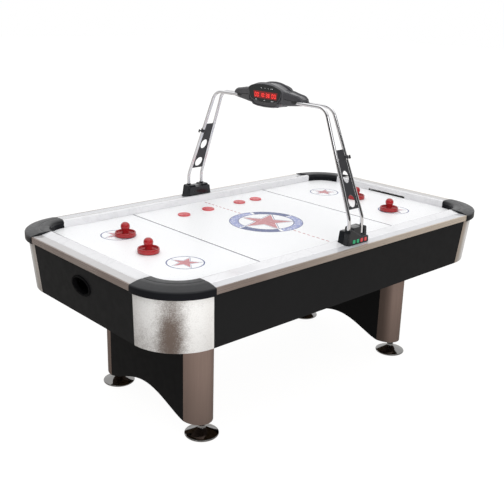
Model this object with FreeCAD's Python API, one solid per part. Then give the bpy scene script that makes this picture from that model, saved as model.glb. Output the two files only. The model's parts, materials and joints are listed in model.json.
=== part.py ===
import FreeCAD, Part
import math
import os

V = FreeCAD.Vector
X_AXIS, Y_AXIS, Z_AXIS = V(1, 0, 0), V(0, 1, 0), V(0, 0, 1)

# An air hockey table with an overhead electronic scoreboard. Millimetres.
# Origin: on the floor under the middle of the table. +X along the table, +Z up,
# -Y is the front long side.

# ---- Overall size -------------------------------------------------------------
LENGTH = 2134.0
WIDTH = 1219.0
RAIL_TOP = 813.0
SCOREBOARD_TOP = 1468.0

HALF_L = LENGTH / 2
HALF_W = WIDTH / 2

# ---- Playfield and rails --------------------------------------------------------
FIELD_TOP = 787.0
FIELD_THICK = 16.0
RAIL_WIDTH = 110.0
RAIL_CREST = 823.0
RAIL_FLAT = 52.0
TRIM_THICK = 8.0
TRIM_BOTTOM = 785.0
FIELD_X = HALF_L - RAIL_WIDTH
FIELD_Y = HALF_W - RAIL_WIDTH
GOAL_HALF = 128.0
GOAL_SLOT = 10.0

# ---- Rounded corners -------------------------------------------------------------
CORNER_R = 230.0
CORNER_X = HALF_L - CORNER_R
CORNER_Y = HALF_W - CORNER_R
CAP_PROUD = 3.0
CAP_TOP = 825.5
CAP_LIP_BOTTOM = 782.0
CAP_INNER_R = CORNER_R - RAIL_WIDTH
JOINT_GAP = 0.3

# ---- Aprons -----------------------------------------------------------------------
APRON_TOP = FIELD_TOP
APRON_BOTTOM = 552.0
APRON_INSET_TOP = 12.0
APRON_LEAN = 18.0
APRON_THICK = 18.0
PANEL_THICK = 5.0
BOARD_INSET = APRON_INSET_TOP + APRON_THICK + 2.5

# ---- Air chamber and blower ---------------------------------------------------------
PLENUM_X = 930.0
PLENUM_Y = 488.0
PLENUM_FLOOR_TOP = 701.0
PLENUM_FLOOR = 12.0
RIB_THICK = 18.0
BLOWER_R = 140.0
BLOWER_BOTTOM = 609.0
SHAFT_R = 5.0
RUN_GAP = 0.05

# ---- Puck return ---------------------------------------------------------------------
POCKET_Z = 693.0
POCKET_HALF_Y = 71.5
POCKET_HALF_Z = 44.0
POCKET_RIM = 10.0

# ---- Legs and feet ---------------------------------------------------------------------
LEG_X = 670.0
LEG_HALF_X = 70.0
LEG_PANEL_Y = 283.0
COLUMN_BULGE = 88.0
LEG_BOTTOM = 72.0
LEG_TOP = PLENUM_FLOOR_TOP - PLENUM_FLOOR
LEG_ARCH_CROWN = 151.0
SKIN_THICK = 16.0
FOOT_Y = 326.0
FOOT_R = 77.0
FOOT_STEM_R = 10.0

# ---- Scoreboard arch ----------------------------------------------------------------------
TUBE_R = 8.0
TUBE_ROUTE = [
    V(43, 564, 822),
    V(43, 564, 930),
    V(23, 372, 1389),
    V(22, 195, 1391),
]
TUBE_BENDS = [80.0, 60.0]
BASE_OUTER_Y = 581.0
BASE_TOP = 876.0
PLATE_THICK = 6.0
CLAMP_Z = 1180.0
BUTTON_X = [-21.0, 5.0, 31.0, 57.0]
BUTTON_Z = 829.0
BUTTON_W = 15.0
BUTTON_H = 17.0
BUTTON_GAP = 0.1

# ---- Loose playing pieces -------------------------------------------------------------------
MALLET_R = 48.5
MALLET_HEIGHT = 66.0
PUCK_R = 32.0
PUCK_THICK = 6.0
AIR_GAP = 0.05
MALLETS = {
    "mallet_left_back": (-684, 217),
    "mallet_left_middle": (-741, -44),
    "mallet_right_front": (670, -242),
    "mallet_right_middle": (735, 40),
}
PUCKS = {
    "puck_a": (-249, 340),
    "puck_b": (-82, 352),
    "puck_c": (145, 362),
    "puck_d": (262, 360),
}
CORNERS = {
    "front_left": (-1, -1),
    "front_right": (1, -1),
    "back_left": (-1, 1),
    "back_right": (1, 1),
}


# ---- Shape helpers ------------------------------------------------------------------------------
def box(x0, x1, y0, y1, z0, z1):
    return Part.makeBox(x1 - x0, y1 - y0, z1 - z0, V(x0, y0, z0))


def cyl(radius, z0, z1, x=0.0, y=0.0):
    return Part.makeCylinder(radius, z1 - z0, V(x, y, z0), Z_AXIS)


def extrude(points, direction):
    wire = Part.makePolygon(points + [points[0]])
    return Part.Face(wire).extrude(direction)


def prism_z(points, z0, z1):
    return extrude([V(x, y, z0) for x, y in points], V(0, 0, z1 - z0))


def prism_x(points, x0, x1):
    return extrude([V(x0, y, z) for y, z in points], V(x1 - x0, 0, 0))


def prism_y(points, y0, y1):
    return extrude([V(x, y0, z) for x, z in points], V(0, y1 - y0, 0))


def mirror_x(shape):
    return shape.mirror(V(0, 0, 0), X_AXIS)


def mirror_y(shape):
    return shape.mirror(V(0, 0, 0), Y_AXIS)


def placed(shape, side_x, side_y):
    """A shape drawn in the +X +Y quarter, mirrored into any quarter."""
    result = shape
    if side_x < 0:
        result = mirror_x(result)
    if side_y < 0:
        result = mirror_y(result)
    return result


def revolve(profile, x=0.0, y=0.0, z=0.0, angle=360.0):
    """Turn a closed (radius, height) outline about an upright line."""
    points = [V(x + r, y, z + h) for r, h in profile]
    wire = Part.makePolygon(points + [points[0]])
    return Part.Face(wire).revolve(V(x, y, 0), Z_AXIS, angle)


def ellipse_y(half_x, half_z, y0, y1, cx, cz):
    """An elliptic bar that runs along Y."""
    if half_x >= half_z:
        curve = Part.Ellipse(V(0, 0, 0), half_x, half_z)
        turn = 0.0
    else:
        curve = Part.Ellipse(V(0, 0, 0), half_z, half_x)
        turn = 90.0
    face = Part.Face(Part.Wire(curve.toShape()))
    bar = face.extrude(V(0, 0, y1 - y0))
    bar.rotate(V(0, 0, 0), Z_AXIS, turn)
    bar.rotate(V(0, 0, 0), X_AXIS, -90)
    bar.translate(V(cx, y0, cz))
    return bar


def ellipse_x(half_y, half_z, x0, x1, cz):
    """An elliptic bar that runs along X."""
    bar = ellipse_y(half_y, half_z, -x1, -x0, 0, cz)
    bar.rotate(V(0, 0, 0), Z_AXIS, 90)
    return bar


def bent_rod(route, bends, radius):
    """A round rod along straight runs joined by tangent arcs."""
    edges = []
    start = route[0]
    for i, bend in enumerate(bends, start=1):
        corner = route[i]
        back = (route[i - 1] - corner).normalize()
        ahead = (route[i + 1] - corner).normalize()
        half = back.getAngle(ahead) / 2
        reach = bend / math.tan(half)
        p0 = corner + back * reach
        p1 = corner + ahead * reach
        middle = (back + ahead).normalize()
        centre = corner + middle * (bend / math.sin(half))
        mid_point = centre - middle * bend
        edges.append(Part.LineSegment(start, p0).toShape())
        edges.append(Part.Arc(p0, mid_point, p1).toShape())
        start = p1
    edges.append(Part.LineSegment(start, route[-1]).toShape())
    path = Part.Wire(edges)
    along = route[1] - route[0]
    ring = Part.Wire(Part.makeCircle(radius, route[0], along))
    return path.makePipeShell([ring], True, False)


def save(name, *shapes):
    solids = [solid for shape in shapes for solid in shape.Solids]
    for solid in solids:
        if not solid.isValid():
            print("INVALID", name)
    whole = solids[0] if len(solids) == 1 else Part.makeCompound(solids)
    whole.exportStep("parts/%s.step" % name)
    bounds = whole.BoundBox
    print("%-22s solids %d  x %.0f..%.0f  y %.0f..%.0f  z %.1f..%.1f" % (
        name, len(solids), bounds.XMin, bounds.XMax,
        bounds.YMin, bounds.YMax, bounds.ZMin, bounds.ZMax))
    return whole


# ---- Playfield board ------------------------------------------------------------------------------
def rounded_slab(half_x, half_y, radius, z0, z1):
    slab = box(-half_x, half_x, -half_y, half_y, z0, z1)
    upright = []
    for edge in slab.Edges:
        a, b = edge.Vertexes[0].Point, edge.Vertexes[1].Point
        if abs(a.x - b.x) < 1e-6 and abs(a.y - b.y) < 1e-6:
            upright.append(edge)
    return slab.makeFillet(radius, upright)


def playfield():
    board = rounded_slab(
        HALF_L - BOARD_INSET, HALF_W - BOARD_INSET, CORNER_R - BOARD_INSET,
        FIELD_TOP - FIELD_THICK, FIELD_TOP)
    drop = box(FIELD_X + 5, HALF_L - BOARD_INSET - 4, -GOAL_HALF, GOAL_HALF,
               FIELD_TOP - 20, FIELD_TOP + 1)
    return board.cut(drop).cut(mirror_x(drop))


# ---- Rails, trim strips and corner caps -------------------------------------------------------------
def rail_profile():
    """(distance in from the outer face, height) around a rail's section."""
    return [
        (TRIM_THICK, FIELD_TOP),
        (TRIM_THICK, RAIL_TOP),
        (RAIL_FLAT, RAIL_TOP),
        (RAIL_FLAT + 2.5, RAIL_TOP + 1.6),
        (RAIL_WIDTH - 14, RAIL_CREST),
        (RAIL_WIDTH - 6, RAIL_CREST - 0.8),
        (RAIL_WIDTH - 1.8, RAIL_CREST - 4),
        (RAIL_WIDTH, RAIL_CREST - 9),
        (RAIL_WIDTH, FIELD_TOP),
    ]


def side_rail():
    section = [(HALF_W - d, z) for d, z in rail_profile()]
    reach = CORNER_X - JOINT_GAP
    return prism_x(section, -reach, reach)


def end_rail():
    section = [(HALF_L - d, z) for d, z in rail_profile()]
    reach = CORNER_Y - JOINT_GAP
    rail = prism_y(section, -reach, reach)
    slot = box(FIELD_X - 10, HALF_L - BOARD_INSET, -GOAL_HALF, GOAL_HALF,
               FIELD_TOP - 1, FIELD_TOP + GOAL_SLOT)
    return rail.cut(slot)


def trim_profile(outer):
    return [
        (outer - TRIM_THICK, TRIM_BOTTOM),
        (outer - TRIM_THICK, RAIL_TOP),
        (outer - 1.5, RAIL_TOP),
        (outer, RAIL_TOP - 1.5),
        (outer, TRIM_BOTTOM + 1.5),
        (outer - 1.5, TRIM_BOTTOM),
    ]


def rail_trims():
    long_reach, end_reach = CORNER_X - JOINT_GAP, CORNER_Y - JOINT_GAP
    long_strip = prism_x(trim_profile(HALF_W), -long_reach, long_reach)
    end_strip = prism_y(trim_profile(HALF_L), -end_reach, end_reach)
    return [long_strip, mirror_y(long_strip), end_strip, mirror_x(end_strip)]


def cap_profile():
    """(radius from the corner's centre, height): flat top, sloping shoulder, upright lip."""
    outer = CORNER_R + CAP_PROUD
    shoulder = outer - 37
    lip_inner = CORNER_R - APRON_INSET_TOP + 1.5
    return [
        (CAP_INNER_R, FIELD_TOP),
        (CAP_INNER_R + 1, CAP_TOP - 14),
        (CAP_INNER_R + 3, CAP_TOP - 7),
        (CAP_INNER_R + 6, CAP_TOP - 2.5),
        (CAP_INNER_R + 11, CAP_TOP),
        (shoulder, CAP_TOP),
        (outer - 2, CAP_TOP - 12),
        (outer, CAP_TOP - 14.5),
        (outer, CAP_LIP_BOTTOM + 1.5),
        (outer - 1.5, CAP_LIP_BOTTOM),
        (lip_inner, CAP_LIP_BOTTOM),
        (lip_inner, FIELD_TOP),
    ]


def corner_cap():
    return revolve(cap_profile(), CORNER_X, CORNER_Y, angle=90)


# ---- Aprons and corner panels --------------------------------------------------------------------------
def lean_at(z):
    """How far the apron and panel faces have moved in at height z."""
    return APRON_LEAN * (APRON_TOP - z) / (APRON_TOP - APRON_BOTTOM)


def leaning_board(reach, outer, along_x):
    """Apron board: leans in towards its lower edge, and its ends follow the corner panels."""
    rings = []
    for z in (APRON_BOTTOM, APRON_TOP):
        shift = lean_at(z)
        end, face = reach - shift, outer - APRON_INSET_TOP - shift
        corners = [(-end, face - APRON_THICK), (end, face - APRON_THICK), (end, face), (-end, face)]
        if not along_x:
            corners = [(b, a) for a, b in corners]
        points = [V(x, y, z) for x, y in corners]
        rings.append(Part.makePolygon(points + [points[0]]))
    return Part.makeLoft(rings, True, True)


def side_apron():
    return leaning_board(CORNER_X, HALF_W, True)


def end_apron():
    apron = leaning_board(CORNER_Y, HALF_L, False)
    hole = ellipse_x(POCKET_HALF_Y - 5, POCKET_HALF_Z - 5, 990, 1090, POCKET_Z)
    return apron.cut(hole)


def pocket_bezel():
    """Oval ring that lies on the leaning apron, with a collar into its hole."""
    lean = math.degrees(math.atan(APRON_LEAN / (APRON_TOP - APRON_BOTTOM)))
    flange = ellipse_x(POCKET_HALF_Y, POCKET_HALF_Z, 0.2, 4.5, 0)
    flange = flange.makeChamfer(1.5, [e for e in flange.Edges if e.BoundBox.XMin > 4.4])
    collar = ellipse_x(POCKET_HALF_Y - 7.5, POCKET_HALF_Z - 7.5, 3 - APRON_THICK, 1, 0)
    hole = ellipse_x(POCKET_HALF_Y - POCKET_RIM, POCKET_HALF_Z - POCKET_RIM, -40, 40, 0)
    ring = flange.fuse(collar).cut(hole)
    ring.rotate(V(0, 0, 0), Y_AXIS, lean)
    ring.translate(V(HALF_L - APRON_INSET_TOP - lean_at(POCKET_Z), 0, POCKET_Z))
    return ring


def arc(radius, z, start, end):
    """Quarter arc about the corner's centre, moved in with the lean at height z."""
    shift = lean_at(z)
    centre = V(CORNER_X - shift, CORNER_Y - shift, z)
    angles = [start, (start + end) / 2, end]
    points = [centre + V(radius * math.cos(math.radians(a)), radius * math.sin(math.radians(a)), 0)
              for a in angles]
    return Part.Arc(*points).toShape(), points[0], points[2]


def corner_panel():
    """A curved quarter skin that leans in towards its lower edge, as the aprons do."""
    outer = CORNER_R - APRON_INSET_TOP
    rings = []
    for z in (APRON_BOTTOM, FIELD_TOP - 1):
        out_edge, out_start, out_end = arc(outer, z, 0, 90)
        in_edge, in_start, in_end = arc(outer - PANEL_THICK, z, 90, 0)
        rings.append(Part.Wire([out_edge, Part.makeLine(out_end, in_start),
                                in_edge, Part.makeLine(in_end, out_start)]))
    return Part.makeLoft(rings, True, True)


def corner_block():
    """Curved former behind the panel, with a tab along the back of each apron."""
    inner, outer = 156.0, CORNER_R - APRON_INSET_TOP - PANEL_THICK - 0.1
    tab_outer, tab = CORNER_R - APRON_INSET_TOP - APRON_THICK - 0.1, 50.0
    rings = []
    for z in (APRON_BOTTOM + 8, FIELD_TOP - FIELD_THICK):
        shift = lean_at(z)
        cx, cy = CORNER_X - shift, CORNER_Y - shift
        out_edge, out_start, out_end = arc(outer, z, 0, 90)
        in_edge, in_start, in_end = arc(inner, z, 90, 0)
        long_side = [out_end, V(cx, cy + tab_outer, z), V(cx - tab, cy + tab_outer, z),
                     V(cx - tab, cy + inner, z), in_start]
        end_side = [in_end, V(cx + inner, cy - tab, z), V(cx + tab_outer, cy - tab, z),
                    V(cx + tab_outer, cy, z), out_start]
        edges = [out_edge]
        edges += [Part.makeLine(a, b) for a, b in zip(long_side, long_side[1:])]
        edges.append(in_edge)
        edges += [Part.makeLine(a, b) for a, b in zip(end_side, end_side[1:])]
        rings.append(Part.Wire(edges))
    return Part.makeLoft(rings, True, True)


# ---- Air chamber ------------------------------------------------------------------------------------------
LEG_BOLTS = [(side * (LEG_X + dx), y) for side in (-1, 1) for dx in (-30, 30) for y in (-150, 150)]
OUTLET = (66.0, 118.0, -25.0, 25.0)


def plenum_floor():
    low = PLENUM_FLOOR_TOP - PLENUM_FLOOR
    floor = box(-PLENUM_X, PLENUM_X, -PLENUM_Y, PLENUM_Y, low, PLENUM_FLOOR_TOP)
    floor = floor.cut(box(*OUTLET, low - 1, PLENUM_FLOOR_TOP + 1))
    holes = [cyl(4.2, low - 1, PLENUM_FLOOR_TOP + 1, x, y) for x, y in LEG_BOLTS]
    return floor.cut(Part.makeCompound(holes))


def plenum_ribs():
    """Sealed walls round the air chamber and three cross ribs with air gaps."""
    low, high = PLENUM_FLOOR_TOP, FIELD_TOP - FIELD_THICK
    outer = box(-PLENUM_X, PLENUM_X, -PLENUM_Y, PLENUM_Y, low, high)
    inner = box(-PLENUM_X + RIB_THICK, PLENUM_X - RIB_THICK,
                -PLENUM_Y + RIB_THICK, PLENUM_Y - RIB_THICK, low - 1, high + 1)
    ribs = [outer.cut(inner)]
    for x in (-470.0, 0.0, 470.0):
        rib = box(x - 9, x + 9, -400, 400, low, high)
        for y in (-250.0, 0.0, 250.0):
            rib = rib.cut(box(x - 10, x + 10, y - 45, y + 45, low + 20, high - 20))
        ribs.append(rib)
    return ribs


# ---- Blower --------------------------------------------------------------------------------------------------
def blower_housing():
    top = LEG_TOP
    drum = cyl(BLOWER_R, BLOWER_BOTTOM, top)
    flange = cyl(BLOWER_R + 16, top - 4, top)
    hollow = cyl(BLOWER_R - 4, BLOWER_BOTTOM + 4, top - 4)
    inlet = cyl(60, BLOWER_BOTTOM - 1, BLOWER_BOTTOM + 5)
    outlet = box(*OUTLET, top - 5, top + 1)
    gland = Part.makeCylinder(9, 14, V(-BLOWER_R - 12, 0, 640), X_AXIS)
    wire_hole = Part.makeCylinder(3.6, 30, V(-BLOWER_R - 20, 0, 640), X_AXIS)
    return drum.fuse([flange, gland]).cut(hollow).cut(inlet).cut(outlet).cut(wire_hole)


def blower_motor():
    top = LEG_TOP - 4
    return cyl(40, top - 17, top).fuse(cyl(SHAFT_R, 622, top - 10))


def blower_impeller():
    bore = cyl(SHAFT_R + RUN_GAP, 600, 700)
    body = cyl(14, 628, 663).fuse(cyl(92, 660, 663))
    blades = []
    for i in range(12):
        blade = box(58, 90, -1.2, 1.2, 624, 661)
        blade.rotate(V(74, 0, 0), Z_AXIS, 35)
        blade.rotate(V(0, 0, 0), Z_AXIS, i * 30)
        blades.append(blade)
    return body.fuse(blades).cut(bore)


def blower_grille():
    low, high = BLOWER_BOTTOM - 4, BLOWER_BOTTOM
    ring = cyl(70, low, high).cut(cyl(60, low - 1, high + 1))
    bars = [box(-61, 61, y - 1.5, y + 1.5, low, high) for y in (-40, -20, 0, 20, 40)]
    bars.append(box(-1.5, 1.5, -61, 61, low, high))
    return ring.fuse(bars)


# ---- Puck return troughs ------------------------------------------------------------------------------------------
def goal_trough():
    """Tray behind the goal: sloping floor that ends at the pocket in the apron."""
    back = PLENUM_X + 3
    front = HALF_L - APRON_INSET_TOP - APRON_THICK - lean_at(652) - 2
    wall = 4.0
    high = FIELD_TOP - FIELD_THICK
    floor = prism_y([(back, 666), (back, 670), (front, 656), (front, 652)],
                    -GOAL_HALF - wall, GOAL_HALF + wall)
    rear = box(back, back + wall, -GOAL_HALF - wall, GOAL_HALF + wall, 666, high)
    sides = [box(back, front, y, y + wall, 652, high) for y in (-GOAL_HALF - wall, GOAL_HALF)]
    tray = floor.fuse([rear] + sides)
    below = prism_y([(back, 666), (front, 652), (front, 600), (back, 600)], -300, 300)
    return tray.cut(below)


# ---- Legs --------------------------------------------------------------------------------------------------------------
def arch_height(y):
    share = 0.5 * (1 + math.cos(math.pi * y / LEG_PANEL_Y))
    return LEG_BOTTOM + (LEG_ARCH_CROWN - LEG_BOTTOM) * share ** 0.68


def arched_panel(x0, x1, half_y, top):
    """Upright panel whose lower edge is a smooth S-sided arch."""
    steps = 14
    ys = [LEG_PANEL_Y * (2.0 * i / steps - 1) for i in range(steps + 1)]
    points = [V(x0, y, arch_height(y)) for y in ys]
    curve = Part.BSplineCurve()
    curve.interpolate(points)
    left, right = points[0], points[-1]
    up_left, up_right = V(x0, left.y, top), V(x0, right.y, top)
    wire = Part.Wire([
        curve.toShape(),
        Part.makeLine(right, up_right),
        Part.makeLine(up_right, up_left),
        Part.makeLine(up_left, left),
    ])
    panel = Part.Face(wire).extrude(V(x1 - x0, 0, 0))
    if half_y < LEG_PANEL_Y:
        panel = panel.common(box(x0 - 1, x1 + 1, -half_y, half_y, 0, top + 1))
    return panel


def leg_skins():
    inner = arched_panel(LEG_X - LEG_HALF_X, LEG_X - LEG_HALF_X + SKIN_THICK, LEG_PANEL_Y, LEG_TOP)
    outer = arched_panel(LEG_X + LEG_HALF_X - SKIN_THICK, LEG_X + LEG_HALF_X, LEG_PANEL_Y, LEG_TOP)
    return [inner, outer]


def leg_core():
    """Timber frame between the two skins of a leg."""
    x0 = LEG_X - LEG_HALF_X + SKIN_THICK
    x1 = LEG_X + LEG_HALF_X - SKIN_THICK
    core = arched_panel(x0, x1, LEG_PANEL_Y, LEG_TOP)
    core = core.cut(box(x0 - 1, x1 + 1, -225, 225, 215, 600))
    for side_x, y in LEG_BOLTS:
        if side_x > 0:
            core = core.cut(cyl(4.2, 625, 700, side_x, y))
    return core


def leg_column():
    """D-shaped post: flat back against the leg panels, rounded outer face."""
    ring = Part.Ellipse(V(LEG_X, LEG_PANEL_Y, LEG_BOTTOM), COLUMN_BULGE, LEG_HALF_X)
    face = Part.Face(Part.Wire(ring.toShape()))
    post = face.extrude(V(0, 0, LEG_TOP - LEG_BOTTOM))
    post.rotate(V(LEG_X, LEG_PANEL_Y, 0), Z_AXIS, 90)
    keep = box(0, 1000, LEG_PANEL_Y, 600, 0, 900)
    bore = cyl(16, LEG_BOTTOM - 1, 132, LEG_X, FOOT_Y)
    deep = cyl(FOOT_STEM_R + 1, 100, 160, LEG_X, FOOT_Y)
    return post.common(keep).cut(bore).cut(deep)


def foot():
    """Levelling foot: wide saucer, coned hub and threaded stem."""
    stem = FOOT_STEM_R
    profile = [
        (0, 0), (FOOT_R - 13, 0), (FOOT_R - 6, 2.5), (FOOT_R - 1, 7), (FOOT_R, 10.5),
        (FOOT_R - 2, 14), (FOOT_R - 12, 19), (52, 25), (36, 31), (24, 36), (18, 40),
        (17, 50), (stem + 1, 52), (stem, 53), (stem, 119), (stem - 1.5, 120.5), (0, 120.5),
    ]
    return revolve(profile, LEG_X, FOOT_Y)


def leg_insert():
    """Threaded sleeve in the bottom of a post, with a thin flange under it."""
    sleeve = cyl(16, LEG_BOTTOM, 132, LEG_X, FOOT_Y)
    flange = cyl(21, LEG_BOTTOM - 2.5, LEG_BOTTOM, LEG_X, FOOT_Y)
    bore = cyl(FOOT_STEM_R + RUN_GAP, 0, 200, LEG_X, FOOT_Y)
    return sleeve.fuse(flange).cut(bore)


def leg_bolt(x, y):
    head = prism_z([(x + 6.5 * math.cos(math.radians(a)), y + 6.5 * math.sin(math.radians(a)))
                    for a in range(0, 360, 60)], PLENUM_FLOOR_TOP, PLENUM_FLOOR_TOP + 5.3)
    return head.fuse(cyl(4, 630, PLENUM_FLOOR_TOP + 1, x, y))


# ---- Scoreboard arch -------------------------------------------------------------------------------------------------------
def arch_base(rail, with_buttons):
    """Wedge-sided block that stands on a long rail and holds both tubes of one side."""
    outer, inner_low, inner_high = BASE_OUTER_Y, 520.0, 534.0
    low, top = RAIL_TOP, BASE_TOP
    lower = [V(-80, outer, low), V(80, outer, low), V(78, inner_low, low), V(-78, inner_low, low)]
    upper = [V(-60, outer - 3, top), V(60, outer - 3, top), V(59, inner_high, top),
             V(-59, inner_high, top)]
    loft = Part.makeLoft([Part.makePolygon(lower + [lower[0]]),
                          Part.makePolygon(upper + [upper[0]])], True, True)
    top_edges = [e for e in loft.Edges if e.BoundBox.ZMin > top - 0.5]
    block = loft.makeChamfer(3.0, top_edges)
    collars = [cyl(13, top - 4, top + 5, x, TUBE_ROUTE[0].y) for x in (-43, 43)]
    block = block.fuse(collars).cut(rail)
    for x in (-43, 43):
        block = block.cut(cyl(TUBE_R + 0.1, TUBE_ROUTE[0].z - 0.5, 960, x, TUBE_ROUTE[0].y))
    if with_buttons:
        for x in BUTTON_X:
            slot = rounded_key(x, BUTTON_Z, BUTTON_W / 2 + BUTTON_GAP, BUTTON_H / 2 + BUTTON_GAP,
                               outer - 9, outer + 5)
            block = block.cut(slot)
    return block


def rounded_key(cx, cz, half_x, half_z, y0, y1):
    key = box(cx - half_x, cx + half_x, y0, y1, cz - half_z, cz + half_z)
    edges = []
    for edge in key.Edges:
        a, b = edge.Vertexes[0].Point, edge.Vertexes[1].Point
        if abs(a.x - b.x) < 1e-6 and abs(a.z - b.z) < 1e-6:
            edges.append(edge)
    return key.makeFillet(3.5, edges)


def control_button(x):
    outer = BASE_OUTER_Y
    key = rounded_key(x, BUTTON_Z, BUTTON_W / 2, BUTTON_H / 2, outer - 5.5, outer + 2.6)
    face_edges = [e for e in key.Edges if e.BoundBox.YMin > outer + 2.5]
    return key.makeChamfer(1.0, face_edges)


def arch_tubes():
    right = bent_rod(TUBE_ROUTE, TUBE_BENDS, TUBE_R)
    return [right, mirror_x(right)]


def lean_angle():
    low, high = TUBE_ROUTE[1], TUBE_ROUTE[2]
    return math.atan((low.y - high.y) / (high.z - low.z))


def tube_at(z):
    """Centre of the +X tube on its leaning run, at height z."""
    low, high = TUBE_ROUTE[1], TUBE_ROUTE[2]
    share = (z - low.z) / (high.z - low.z)
    return low + (high - low) * share


def arch_plate():
    """Bracing plate between the two leaning tubes: two oval holes, and a clamp on the +X tube."""
    z_low, z_high = 968.0, 1214.0
    lean = lean_angle()
    foot_point = tube_at(z_low)
    tall = (z_high - z_low) / math.cos(lean)
    clear = TUBE_R + 0.05
    low_half = tube_at(z_low).x - clear
    high_half = tube_at(z_high).x - clear
    outline = [(-low_half, 0), (low_half, 0), (high_half, tall), (-high_half, tall)]
    plate = prism_y(outline, -PLATE_THICK / 2, PLATE_THICK / 2)
    for z, half_x in ((1001.0, 24.0), (1102.0, 21.0)):
        along = (z - z_low) / math.cos(lean)
        plate = plate.cut(ellipse_y(half_x, 28.0, -10, 10, 0, along))
    plate.rotate(V(0, 0, 0), X_AXIS, math.degrees(lean))
    plate.translate(V(0, foot_point.y, z_low))

    # A collar round the tube, with a thumbscrew that sticks out to the side.
    along = (TUBE_ROUTE[2] - TUBE_ROUTE[1]).normalize()
    middle = tube_at(CLAMP_Z)
    collar = Part.makeCylinder(TUBE_R + 3, 16, middle - along * 8, along)
    stem = Part.makeCylinder(3.2, 18, middle + X_AXIS * TUBE_R, X_AXIS)
    wing = box(-2, 2, -4, 4, -8, 8)
    wing.rotate(V(0, 0, 0), X_AXIS, math.degrees(lean))
    wing.translate(middle + X_AXIS * (TUBE_R + 17))
    bore = Part.makeCylinder(clear, 900, middle - along * 450, along)
    plate = plate.fuse([collar, stem, wing]).cut(bore)
    return plate


# ---- Scoreboard -------------------------------------------------------------------------------------------------------------
def eye_outline(inset):
    """Half of the housing's front outline, (y, z), from the bottom middle to the top middle."""
    dome_half, tip = 113.0, 224.0
    points = [
        (0, 1351 + inset), (50, 1354 + inset), (80 - inset, 1361 + inset),
        (84 - inset, 1370 + inset), (140, 1374 + inset), (190, 1378 + inset),
        (tip - inset, 1381 + inset), (tip - inset, 1402 - inset), (198, 1413 - inset),
        (160, 1427 - inset), (dome_half + 4, 1437 - inset), (dome_half - inset, 1441 - inset),
        (96, 1448 - inset), (70, 1457.5 - inset), (38, 1465.5 - inset),
        (0, SCOREBOARD_TOP - inset),
    ]
    return points


def housing_solid(inset):
    right = eye_outline(inset)
    left = [(-y, z) for y, z in reversed(right) if y > 0]
    body = prism_x(right + left, -60, 60)
    face, tip = 46.0 - inset, 33.0 - inset
    plan = [(face, -110), (face, 110), (tip, 225 - inset), (-tip, 225 - inset),
            (-face, 110), (-face, -110), (-tip, -225 + inset), (tip, -225 + inset)]
    return body.common(prism_z(plan, 1300, 1500))


WINDOW = [(-80, 1426), (80, 1426), (71, 1396), (-71, 1396)]


def score_housing_half(tubes):
    """The +X half shell, with its window opening and tube sockets."""
    whole = housing_solid(0)
    ridge = prism_x([(-98, 1447), (98, 1447), (104, 1438), (84, 1384), (-84, 1384),
                     (-104, 1438)], 43.5, 60)
    whole = whole.cut(housing_solid(3.0))
    half = whole.common(box(0.1, 100, -300, 300, 1300, 1500))
    half = half.cut(ridge.common(housing_solid(0)).common(box(44.8, 60, -300, 300, 1300, 1500)))
    half = half.cut(prism_x(WINDOW, 40, 60))
    for tube in tubes:
        if tube.BoundBox.XMax > 0:
            half = half.cut(tube).cut(mirror_y(tube))
    return half


def score_window():
    inset = [(y * 0.996, 1411 + (z - 1411) * 0.98) for y, z in WINDOW]
    return prism_x(inset, 41.5, 44.3)


# ---- Playing pieces --------------------------------------------------------------------------------------------------------------
def mallet(x, y):
    r = MALLET_R
    profile = [
        (0, 0), (r - 2, 0), (r, 2.5), (r, 18), (r - 1, 21), (r - 3, 22), (r - 5.5, 21.2),
        (r - 7.5, 18), (r - 10, 11), (27, 8.5), (22, 11), (18, 19), (16.8, 30), (17.6, 40),
        (19.5, 48), (19.8, 54), (17.5, 60), (12, 64.5), (6, MALLET_HEIGHT - 0.4),
        (0, MALLET_HEIGHT),
    ]
    return revolve(profile, x, y, FIELD_TOP + AIR_GAP)


def puck(x, y):
    r, t = PUCK_R, PUCK_THICK
    profile = [(0, 0), (r - 1, 0), (r, 1), (r, t - 1), (r - 1, t), (0, t)]
    return revolve(profile, x, y, FIELD_TOP + AIR_GAP)


# ---- Write every node ---------------------------------------------------------------------------------------------------------------
os.makedirs("parts", exist_ok=True)

save("playfield", playfield())

back_rail = side_rail()
right_rail = end_rail()
save("side_rail_back", back_rail)
save("side_rail_front", mirror_y(back_rail))
save("end_rail_right", right_rail)
save("end_rail_left", mirror_x(right_rail))
save("rail_trims", *rail_trims())

save("side_apron_back", side_apron())
save("side_apron_front", mirror_y(side_apron()))
save("end_apron_right", end_apron())
save("end_apron_left", mirror_x(end_apron()))
save("pocket_bezels", pocket_bezel(), mirror_x(pocket_bezel()))
save("goal_troughs", goal_trough(), mirror_x(goal_trough()))

cap, panel, column = corner_cap(), corner_panel(), leg_column()
for corner, (sx, sy) in CORNERS.items():
    save("corner_cap_" + corner, placed(cap, sx, sy))
    save("corner_panel_" + corner, placed(panel, sx, sy))
    save("leg_column_" + corner, placed(column, sx, sy))
    save("foot_" + corner, placed(foot(), sx, sy))
save("corner_blocks", *[placed(corner_block(), sx, sy) for sx, sy in CORNERS.values()])
save("leg_inserts", *[placed(leg_insert(), sx, sy) for sx, sy in CORNERS.values()])

save("plenum_floor", plenum_floor())
save("plenum_ribs", *plenum_ribs())
save("blower_housing", blower_housing())
save("blower_motor", blower_motor())
save("blower_impeller", blower_impeller())
save("blower_grille", blower_grille())

save("leg_skins_right", *leg_skins())
save("leg_skins_left", *[mirror_x(skin) for skin in leg_skins()])
save("leg_cores", leg_core(), mirror_x(leg_core()))
save("leg_bolts", *[leg_bolt(x, y) for x, y in LEG_BOLTS])

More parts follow.
